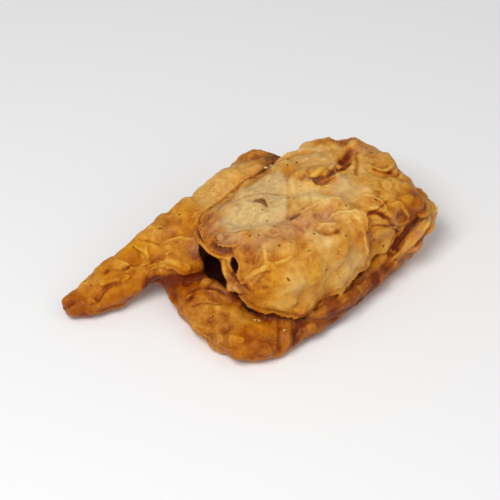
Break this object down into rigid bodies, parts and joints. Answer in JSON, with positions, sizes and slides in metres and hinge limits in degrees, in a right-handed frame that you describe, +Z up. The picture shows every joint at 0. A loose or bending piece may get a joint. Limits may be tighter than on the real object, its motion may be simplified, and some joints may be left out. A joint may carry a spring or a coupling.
{
  "type": "fried fish fillet",
  "caption": "Battered and deep-fried fish fillet, folded on itself, with its tapered tail strip lying along one side.",
  "frame": {"origin": "under the middle of the fillet's box, on the surface that it rests on", "axes": "+X runs along the fillet from the tail tip to the rolled fold, +Y across it towards the tail strip, +Z up from the flat underside"},
  "size_m": [0.1528, 0.0896, 0.0472],
  "materials": {
    "fried_batter": "uneven golden-brown fried batter, slightly oily, with paler bare flesh on top"
  },
  "bodies": {
    "root": {"fillet": "fried_batter"}
  },
  "joints": []
}
